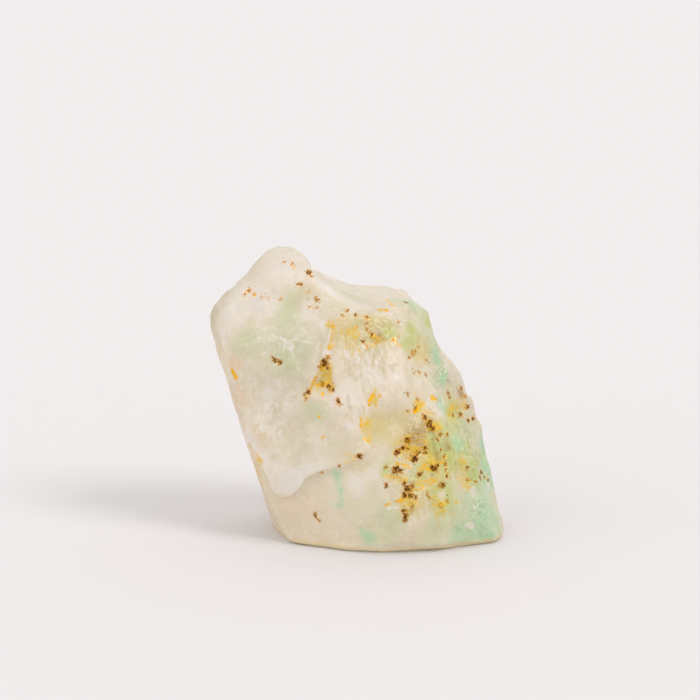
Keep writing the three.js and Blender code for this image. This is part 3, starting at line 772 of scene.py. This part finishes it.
def terraces(net, place, direction, spacing, seed):
    """A staircase of thin cleavage steps across one direction, from -0.5 to 0.5."""
    drift = net.noise(place, spacing * 3.5, 2.0, 0.5, seed) * 2.4
    steps = net.vector("DOT_PRODUCT", place, tuple(direction)) * (1 / spacing) + drift
    return steps.fraction() - 0.5


def chips(net, place, size, seed):
    """Small flat chips, each tilted its own way."""
    shift = net.vector("ADD", place, (seed, seed, seed))
    settings = {"voronoi_dimensions": "3D", "feature": "F1"}
    values = {"Vector": shift, "Scale": 1 / size, "Randomness": 1.0}
    cell = net.node("ShaderNodeTexVoronoi", settings, values, "Position")
    colour = Wire(net, cell.socket.node.outputs["Color"])
    tilt = net.vector("SUBTRACT", colour, (0.5, 0.5, 0.5))
    away = net.vector("SUBTRACT", shift, cell)
    return net.vector("DOT_PRODUCT", away, tilt) * (1 / size)


def relief_tree():
    """Breaks the smooth surface up into lumps, cleavage steps, chips and fibres."""
    tree = bpy.data.node_groups.new("broken_surface", "GeometryNodeTree")
    net = Net(tree)
    tree.interface.new_socket("Geometry", in_out="OUTPUT", socket_type="NodeSocketGeometry")
    tree.interface.new_socket("Geometry", in_out="INPUT", socket_type="NodeSocketGeometry")
    for name in [*RELIEF_MM, "Seed"]:
        tree.interface.new_socket(name, in_out="INPUT", socket_type="NodeSocketFloat")
    tree.interface.new_socket("Material", in_out="INPUT", socket_type="NodeSocketMaterial")
    given = tree.nodes.new("NodeGroupInput")
    entry = {socket.name: Wire(net, socket) for socket in given.outputs if socket.name}

    position = net.node("GeometryNodeInputPosition")
    place = net.scaled(position, 1 / MM)
    normal = net.node("GeometryNodeInputNormal")
    rough = named_value(net, "rough")
    seed = entry["Seed"]

    warp = net.noise(place, *RELIEF_NOISES["warp"], seed, "Color")
    centred = net.vector("SUBTRACT", warp, (0.5, 0.5, 0.5))
    bent = net.vector("ADD", place, net.scaled(centred, RELIEF_WANDER))
    lumps = net.noise(place, *RELIEF_NOISES["lumps"], seed) - 0.5
    height = lumps * entry["Lumps"] * (rough + 0.6)

    for index, direction in enumerate(cleavage_directions()):
        share = net.noise(place, *RELIEF_NOISES["terrace share"], seed + (3.0 + index))
        share = net.fade(share, 0.48, 0.6)
        wide = terraces(net, bent, direction, TERRACE_MM + TERRACE_MORE_MM * index, seed + index)
        height = height + wide * entry["Terraces"] * share * rough
        spacing = THIN_TERRACE_MM + THIN_TERRACE_MORE_MM * index
        thin = terraces(net, bent, direction, spacing, seed + (9.0 + index))
        height = height + thin * entry["Terraces"] * share * rough * THIN_TERRACE_SHARE

    wide_chips = chips(net, bent, WIDE_CHIP_MM, 5.0)
    small_chips = chips(net, bent, SMALL_CHIP_MM, 9.0)
    height = height + (wide_chips + small_chips * SMALL_CHIP_SHARE) * entry["Chips"] * rough

    along_right = net.stretched(bent, RIGHT_FIBRES_ALONG, RIGHT_FIBRE_STRETCH)
    along_left = net.stretched(bent, LEFT_FIBRES_ALONG, LEFT_FIBRE_STRETCH)
    right = net.noise(along_right, *RELIEF_NOISES["right fibres"], seed) - 0.5
    left = net.noise(along_left, *RELIEF_NOISES["left fibres"], seed + 4.0) - 0.5
    fibres = right * named_value(net, "right_fibres") + left * named_value(net, "left_fibres")
    height = height + fibres * entry["Fibres"] * FIBRE_GAIN
    wander = net.noise(place, *RELIEF_NOISES["ring wander"], seed + 6.0) * RING_WANDER
    rings = (named_value(net, "arc_reach") * RINGS_PER_MM + wander).fraction()
    height = height + (rings - 0.5) * entry["Arcs"] * named_value(net, "arcs")
    grain = net.noise(place, *RELIEF_NOISES["grain"], seed) - 0.5
    height = height + grain * entry["Grain"] * (rough + 0.5)
    height = height - named_value(net, "lowered") * entry["Steps"]

    above = net.node("ShaderNodeSeparateXYZ", None, [place], "Z")
    height = height * net.fade(above, *BASE_FADE_MM) * MM
    offset = net.scaled(normal, height)
    values = {"Geometry": entry["Geometry"], "Offset": offset}
    moved = net.node("GeometryNodeSetPosition", None, values)
    whole = net.node("GeometryNodeRealizeInstances", None, {"Geometry": moved})
    values = {"Geometry": whole, "Material": entry["Material"]}
    painted = net.node("GeometryNodeSetMaterial", None, values)
    leaving = tree.nodes.new("NodeGroupOutput")
    tree.links.new(painted.socket, leaving.inputs[0])
    return tree


def give_relief(piece, material):
    """Runs the relief over the piece."""
    modifier = piece.modifiers.new("broken_surface", "NODES")
    modifier.node_group = relief_tree()
    values = {**RELIEF_MM, "Seed": RELIEF_SEED, "Material": material}
    for item in modifier.node_group.interface.items_tree:
        if item.in_out == "INPUT" and item.name in values:
            modifier[item.identifier] = values[item.name]
    with_modifiers_applied(piece)


def keep_in_box(piece):
    """Moves what reaches out of the solid's box back onto its sides."""
    low, high = (np.array(corner) / MM for corner in CAD_BOX)
    points = np.clip(points_of(piece)[0], low, high)
    piece.data.vertices.foreach_set("co", (points * MM).ravel())
    piece.data.update()


def thin_out(piece):
    """Takes triangles away where the surface is even, down to the most that the lump may have."""
    count = len(piece.data.polygons) * 2  # the even grid is all four-sided faces
    modifier = piece.modifiers.new("fewer_triangles", "DECIMATE")
    modifier.ratio = min(1.0, MOST_TRIANGLES / count)
    with_modifiers_applied(piece)


def hidden_specks(front):
    """Iron specks on the sides that the front view doesn't show."""
    draw = random.Random(HIDDEN_SEED)
    specks = []
    for middle, spread, count in HIDDEN_STAINS:
        for _ in range(count):
            loose = [part + draw.gauss(0, spread) for part in middle]
            point = np.array(front.tree.find_nearest(Vector(loose) * MM)[0]) / MM
            specks.append((point, draw.uniform(*HIDDEN_SPECK_RADIUS)))
    return specks


def store_layer(piece, points, seen):
    """Says what lies below the upper layer's wavy edge, and what makes the lip just over it."""
    across, up = seen_at(points)
    over = up - np.interp(across, *zip(*LAYER_EDGE))
    edge_end = LAYER_EDGE[-1][0] + LAYER_EDGE_FADE
    inside = np.clip((edge_end - across) / LAYER_EDGE_FADE, 0, 1)
    store(piece, "below_layer", np.clip(0.5 - over / LAYER_SHADE_WIDTH, 0, 1) * inside * seen)
    lip = np.clip(over / (LAYER_SHADE_WIDTH / 2), 0, 1) * np.clip(1 - over / LIP_WIDTH, 0, 1)
    store(piece, "lip", lip * seen * np.clip((LIP_ENDS_ACROSS - across) / 4.0, 0, 1))


def store_side_plane(piece, points):
    """Says what lies on the narrow plane down the left side."""
    across, up = seen_at(points)
    soft_across, soft_up = SIDE_PLANE_SOFTNESS
    inside = np.interp(up, *zip(*SIDE_PLANE_EDGE)) - across
    below_top = np.clip((SIDE_PLANE_TOP - up) / soft_up, 0, 1)
    store(piece, "side_plane", np.clip(inside / soft_across, 0, 1) * below_top)


def store_stains_and_highlights(piece, points, front, hidden):
    """Says how far each point lies from the edge of the nearest brown and gold stain, and of the
    nearest pale line of painted highlight.
    """
    dark = [place for group in DARK_SPECKS.values() for place in front.places(group)]
    orange = [place for group in ORANGE_SPECKS.values() for place in front.places(group)]
    wavy = wandering(points, STROKE_WANDER)
    dark_spots = edge_distance(points, dark + hidden) + SPECK_LOSS
    dark_strokes = stroke_distance(wavy, front, DARK_STROKES)
    store(piece, "dark_edge", np.minimum(dark_spots, dark_strokes))
    orange_spots = edge_distance(points, orange)
    orange_strokes = stroke_distance(wavy, front, ORANGE_STROKES)
    store(piece, "orange_edge", np.minimum(orange_spots, orange_strokes))
    store(piece, "highlight_line", highlight_line_distance(wandering(points, LINE_WANDER), front))


def store_clouds(piece, points, front, hidden):
    """Says how thick each cloud of colour is at each point."""
    cloudy = wandering(wandering(points, CLOUD_WANDER), CLOUD_EDGE_WANDER)
    washed = [(middle, radius * HIDDEN_WASH) for middle, radius in hidden]
    hidden_mint = [(np.array(middle), radius) for middle, radius in HIDDEN_MINT]
    clouds = {
        "ochre": front.places(OCHRE_PLACES) + washed,
        "brown": front.places(BROWN_PLACES),
        "mint": front.places(MINT_PLACES) + hidden_mint,
        "honey": front.places(HONEY_PLACES),
        "tan": front.places(TAN_PLACES),
        "green": front.places(GREEN_PLACES),
        "olive": front.places(OLIVE_PLACES),
        "veil": front.places(VEIL_PLACES),
    }
    for name, places in clouds.items():
        store(piece, name, soft_patch(cloudy, places))


def store_colour_zones(piece):
    """Says where each colour and each stain lies."""
    points, normals = points_of(piece)
    seen = seen_from_front(normals)
    front = Front(piece)
    hidden = hidden_specks(front)
    layered = wandering(points, LAYER_WANDER)
    store(piece, "hidden", 1 - seen)
    store_layer(piece, layered, seen)
    store_side_plane(piece, layered)
    store_stains_and_highlights(piece, points, front, hidden)
    store_clouds(piece, points, front, hidden)


def zone(net, name):
    """A stored number of the surface."""
    return net.node("ShaderNodeAttribute", {"attribute_name": name}, None, "Fac")


def patchy(spread, cloud, edge="patches"):
    """A zone broken up by a cloud where it is thin."""
    return spread * spread.net.fade(spread + cloud, *EDGES[edge])


def veins(net, place, name):
    """Thin curved lines, where a cloudy noise crosses its middle."""
    crossing = (net.noise(place, *NOISES[name]) - 0.5).size()
    return 1 - net.fade(crossing, 0.0, VEIN_WIDTHS[name])


def covered(colour, name, mask, top):
    """The colour with another one over it where the mask is, as strongly as the name says."""
    return mask.net.blend(mask * STRENGTHS[name], colour, top)


def ground_colour(net, place, cloud, fine):
    """Cream crystal with green, tan, honey, olive and mint clouds, and a yellower foot."""
    mixed = cloud * 0.6 + fine * 0.4
    colour = net.blend(net.fade(mixed, *EDGES["cream"]), CREAM, PALE_CREAM)
    wide = net.fade(net.noise(place, *NOISES["hidden green"]), *EDGES["hidden green"])
    colour = covered(colour, "hidden green", wide * zone(net, "hidden"), PALE_GREEN)
    colour = net.blend(patchy(zone(net, "tan"), mixed), colour, TAN)
    colour = net.blend(patchy(zone(net, "green"), mixed), colour, PALE_GREEN)
    colour = covered(colour, "honey", patchy(zone(net, "honey"), mixed), HONEY)
    colour = covered(colour, "lower face", zone(net, "below_layer"), LOWER_FACE)
    colour = covered(colour, "olive", patchy(zone(net, "olive"), mixed), OLIVE)
    colour = covered(colour, "mint", patchy(zone(net, "mint"), mixed, "mint"), MINT)
    colour = covered(colour, "side plane", zone(net, "side_plane"), TAN)
    above = net.node("ShaderNodeSeparateXYZ", None, [place], "Z")
    foot = 1 - net.fade(above + (fine - 0.5) * FOOT_RAGGEDNESS, *EDGES["foot"])
    return covered(colour, "foot", foot, FOOT)


def veiled_colour(net, place, colour, fine):
    """White veils over the crystal, and a white lip over the edge of the upper layer."""
    clouds = net.fade(net.noise(place, *NOISES["hidden veils"]), *EDGES["hidden veils"])
    veil = zone(net, "veil").highest(clouds * zone(net, "hidden"))
    colour = covered(colour, "veil", patchy(veil, fine), WHITE_VEIL)
    return net.blend(zone(net, "lip") * net.fade(fine, *EDGES["lip"]), colour, WHITE_VEIL)


def cracked_and_highlighted_colour(net, place, colour, cloud, fine):
    """White threads, feathers and hairs, painted white glints and painted highlight lines, and darker
    seams between them.
    """
    drift = net.noise(place, *NOISES["drift"], "Color")
    centred = net.vector("SUBTRACT", drift, (0.5, 0.5, 0.5))
    bent = net.vector("ADD", place, net.scaled(centred, CRACK_WANDER))
    along = net.stretched(place, RIGHT_FIBRES_ALONG, STRETCHES["threads"])
    right = net.noise(along, *NOISES["threads"])
    threads = net.fade(right, *EDGES["threads"]) * zone(net, "right_fibres")
    between = (1 - net.fade(right, *EDGES["between threads"])) * zone(net, "right_fibres")
    drawn = net.stretched(bent, LEFT_FIBRES_ALONG, STRETCHES["feathers"])
    thin = veins(net, drawn, "thin feathers") * STRENGTHS["thin feathers"]
    feathers = veins(net, drawn, "wide feathers").highest(thin)
    feathers = feathers * net.fade(net.noise(place, *NOISES["feather gaps"]), *EDGES["feather gaps"])
    feathers = feathers * zone(net, "left_fibres") * STRENGTHS["feathers"]
    hairs = veins(net, bent, "hairs") * net.fade(cloud, *EDGES["hairs"]) * STRENGTHS["hairs"]
    colour = covered(colour, "threads", threads.highest(feathers).highest(hairs), WHITE_VEIL)
    seams = veins(net, bent, "seams") * net.fade(fine, *EDGES["seams"]) * STRENGTHS["seams"]
    colour = net.blend((between * STRENGTHS["between threads"]).highest(seams), colour, SEAM)
    # Painted glints: small white flecks over the rough faces, fewer on the olive, that stand in for
    # highlights.
    painted_glints = net.fade(net.noise(place, *NOISES["glints"]), *EDGES["glints"])
    bare = 1 - zone(net, "olive") * 0.8
    colour = covered(colour, "glints", painted_glints * zone(net, "rough") * bare, WHITE_VEIL)
    # Pale lines of painted highlight along edges and inner cracks, in white over the crystal.
    line = zone(net, "highlight_line") + (fine - 0.5) * 0.5
    return covered(colour, "highlight lines", 1 - net.fade(line, *EDGES["highlight lines"]), WHITE_VEIL)


def crystal_colour(net, place):
    """The crystal itself with its painted glints and highlight lines, without its iron stains."""
    cloud = net.noise(place, *NOISES["clouds"])
    fine = net.noise(place, *NOISES["fine clouds"])
    colour = ground_colour(net, place, cloud, fine)
    colour = veiled_colour(net, place, colour, fine)
    return cracked_and_highlighted_colour(net, place, colour, cloud, fine)


def washed_colour(net, place, colour):
    """Golden and brown washes, and gold streaks that lie level or follow the fibres."""
    ochre = zone(net, "ochre")
    brown = zone(net, "brown")
    grain = net.noise(place, *NOISES["wash"])
    wash = net.fade(grain + ochre * 0.24, *EDGES["wash"]) * net.fade(ochre, 0.0, 0.35)
    colour = covered(colour, "wash", wash, OCHRE_WASH)
    mottled = net.fade(grain + brown * 0.40, *EDGES["brown"]) * net.fade(brown, 0.0, 0.3)
    colour = covered(colour, "brown", mottled, BROWN_WASH)
    across = net.noise(net.vector("MULTIPLY", place, LEVEL_STRETCH), *NOISES["level streaks"])
    along = net.stretched(place, RIGHT_FIBRES_ALONG, STRETCHES["upright streaks"])
    upward = net.noise(along, *NOISES["upright streaks"])
    fibrous = net.fade(zone(net, "right_fibres"), 0.1, 0.4)
    drawn = across * (1 - fibrous) + upward * fibrous
    streaks = net.fade(drawn + ochre * 0.20 + fibrous * 0.05, *EDGES["streaks"])
    return covered(colour, "streaks", streaks * net.fade(ochre, 0.1, 0.5), ORANGE_STREAK)


def stained_colour(net, place, colour):
    """The colour with its iron stains, and how metallic they make it shine."""
    colour = washed_colour(net, place, colour)
    crumbs = net.noise(place, *NOISES["crumbs"]) - 0.5
    gold = 1 - net.fade(zone(net, "orange_edge") + crumbs * 0.9, *EDGES["gold"])
    colour = net.blend(gold, colour, ORANGE_SPECK)
    edge = zone(net, "dark_edge")
    halo = 1 - net.fade(edge + crumbs * 1.5, *EDGES["halo"])
    colour = covered(colour, "halo", halo, SPECK_HALO)
    dust = net.fade(net.noise(place, *NOISES["dust"]), *EDGES["dust"])
    dust = dust * (1 - net.fade(edge, *DUST_REACH))
    grains = net.fade(net.noise(place, *NOISES["speck grains"]), *EDGES["grains"]) * 0.7 + 0.3
    specks = (1 - net.fade(edge + crumbs * 1.7, *EDGES["specks"])) * grains
    specks = specks.highest(dust)
    lustre = (specks * SPECK_LUSTRE).highest(halo * HALO_LUSTRE).highest(gold * GOLD_LUSTRE)
    return net.blend(specks, colour, DARK_SPECK), lustre


def fine_bumps(net, place):
    """Fibres and grain that are too fine for the mesh."""
    along_left = net.stretched(place, LEFT_FIBRES_ALONG, STRETCHES["left bumps"])
    along_right = net.stretched(place, RIGHT_FIBRES_ALONG, STRETCHES["right bumps"])
    drawn = net.noise(along_left, *NOISES["left bumps"])
    upright = net.noise(along_right, *NOISES["right bumps"])
    grain = net.noise(place, *NOISES["grain bumps"])
    height = drawn * (zone(net, "left_fibres") + 0.15) + upright * zone(net, "right_fibres")
    height = height + grain * (zone(net, "rough") * 0.6)
    values = {"Strength": 0.9, "Distance": BUMP_HEIGHT, "Height": height}
    return net.node("ShaderNodeBump", None, values)


def fluorite_material():
    """Milky crystal that light goes into and partly through."""
    material = bpy.data.materials.new("milky_fluorite")
    material.use_nodes = True
    net = Net(material.node_tree)
    spot = net.node("ShaderNodeTexCoord", None, None, "Object")
    place = net.scaled(spot, 1 / MM)
    frost = net.fade(net.noise(place, *NOISES["frost"]), *EDGES["frost"])
    colour, lustre = stained_colour(net, place, crystal_colour(net, place))
    values = {
        "Base Color": colour,
        "Metallic": lustre,
        "Roughness": frost * FROST_ROUGHNESS + LEAST_ROUGHNESS - zone(net, "rough") * 0.04,
        "IOR": FLUORITE_IOR,
        "Specular IOR Level": 0.3,
        "Normal": fine_bumps(net, place),
        "Subsurface Weight": 1.0,
        "Subsurface Radius": SCATTER_RADIUS,
        "Subsurface Scale": SCATTER_DEPTH,
        "Transmission Weight": SEEN_THROUGH,
    }
    surface = net.node("ShaderNodeBsdfPrincipled", None, values)
    values = {"Color": TINT_INSIDE, "Density": ABSORPTION_DENSITY}
    inside = net.node("ShaderNodeVolumeAbsorption", None, values)
    leaving = material.node_tree.nodes.new("ShaderNodeOutputMaterial")
    material.node_tree.links.new(surface.socket, leaving.inputs["Surface"])
    material.node_tree.links.new(inside.socket, leaving.inputs["Volume"])
    return material


def make_lump():
    """The whole lump, which stands for the solid of the same place and size."""
    piece = even_copy(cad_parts[LUMP_NODE])
    store_relief_zones(piece)
    give_relief(piece, fluorite_material())
    thin_out(piece)
    keep_in_box(piece)
    store_colour_zones(piece)
    piece.data.shade_smooth()
    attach(piece, "root")
    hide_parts(LUMP_NODE)
    return piece


def make_floor():
    """A plain pale floor that fills the view."""
    mesh = bpy.data.meshes.new("floor")
    signs = [(-1, -1), (1, -1), (1, 1), (-1, 1)]
    reach = FLOOR_HALF_WIDTH
    corners = [(across * reach, away * reach, -FLOOR_DEPTH) for across, away in signs]
    mesh.from_pydata(corners, [], [(0, 1, 2, 3)])
    floor = linked("floor", mesh)
    material = bpy.data.materials.new("pale_floor")
    material.use_nodes = True
    surface = material.node_tree.nodes["Principled BSDF"]
    surface.inputs["Base Color"].default_value = FLOOR
    surface.inputs["Roughness"].default_value = 0.8
    surface.inputs["Specular IOR Level"].default_value = 0.1
    mesh.materials.append(material)


def add_sun(name, place, softness, power, colour):
    """A far lamp that shines from that place towards the lump, as wide as its softness."""
    lamp = bpy.data.lights.new(name, "SUN")
    lamp.angle = softness
    lamp.energy = power
    lamp.color = colour
    holder = bpy.data.objects.new(name, lamp)
    bpy.context.collection.objects.link(holder)
    holder.location = place
    holder.rotation_euler = (-Vector(place)).to_track_quat("-Z", "Y").to_euler()


def light_the_studio():
    """White surroundings, a soft lamp at the upper right and a wide weak one at the left."""
    world = bpy.data.worlds.new("studio")
    world.use_nodes = True
    net = Net(world.node_tree)
    spot = net.node("ShaderNodeTexCoord", None, None, "Generated")
    height = net.node("ShaderNodeSeparateXYZ", None, [spot], "Z")
    strength = net.fade(height, -0.1, 1.0) * (OVERHEAD_LIGHT - HORIZON_LIGHT) + HORIZON_LIGHT
    values = {"Color": SURROUNDINGS, "Strength": strength}
    backdrop = net.node("ShaderNodeBackground", None, values)
    leaving = world.node_tree.nodes.new("ShaderNodeOutputWorld")
    world.node_tree.links.new(backdrop.socket, leaving.inputs["Surface"])
    bpy.context.scene.world = world
    add_sun("key", KEY_PLACE, KEY_SOFTNESS, KEY_POWER, KEY_COLOUR)
    add_sun("fill", FILL_PLACE, FILL_SOFTNESS, FILL_POWER, FILL_COLOUR)


def set_camera():
    """The camera stands where the front view is taken from."""
    camera = bpy.data.cameras.new("front")
    camera.lens = LENS_MM
    camera.sensor_width = SENSOR_MM
    camera.clip_start = 0.01
    holder = bpy.data.objects.new("front", camera)
    bpy.context.collection.objects.link(holder)
    holder.location = VIEW_POINT
    holder.rotation_euler = VIEW_FORWARD.to_track_quat("-Z", "Y").to_euler()
    bpy.context.scene.camera = holder
    bpy.context.scene.view_settings.view_transform = "Standard"


make_lump()
make_floor()
light_the_studio()
set_camera()
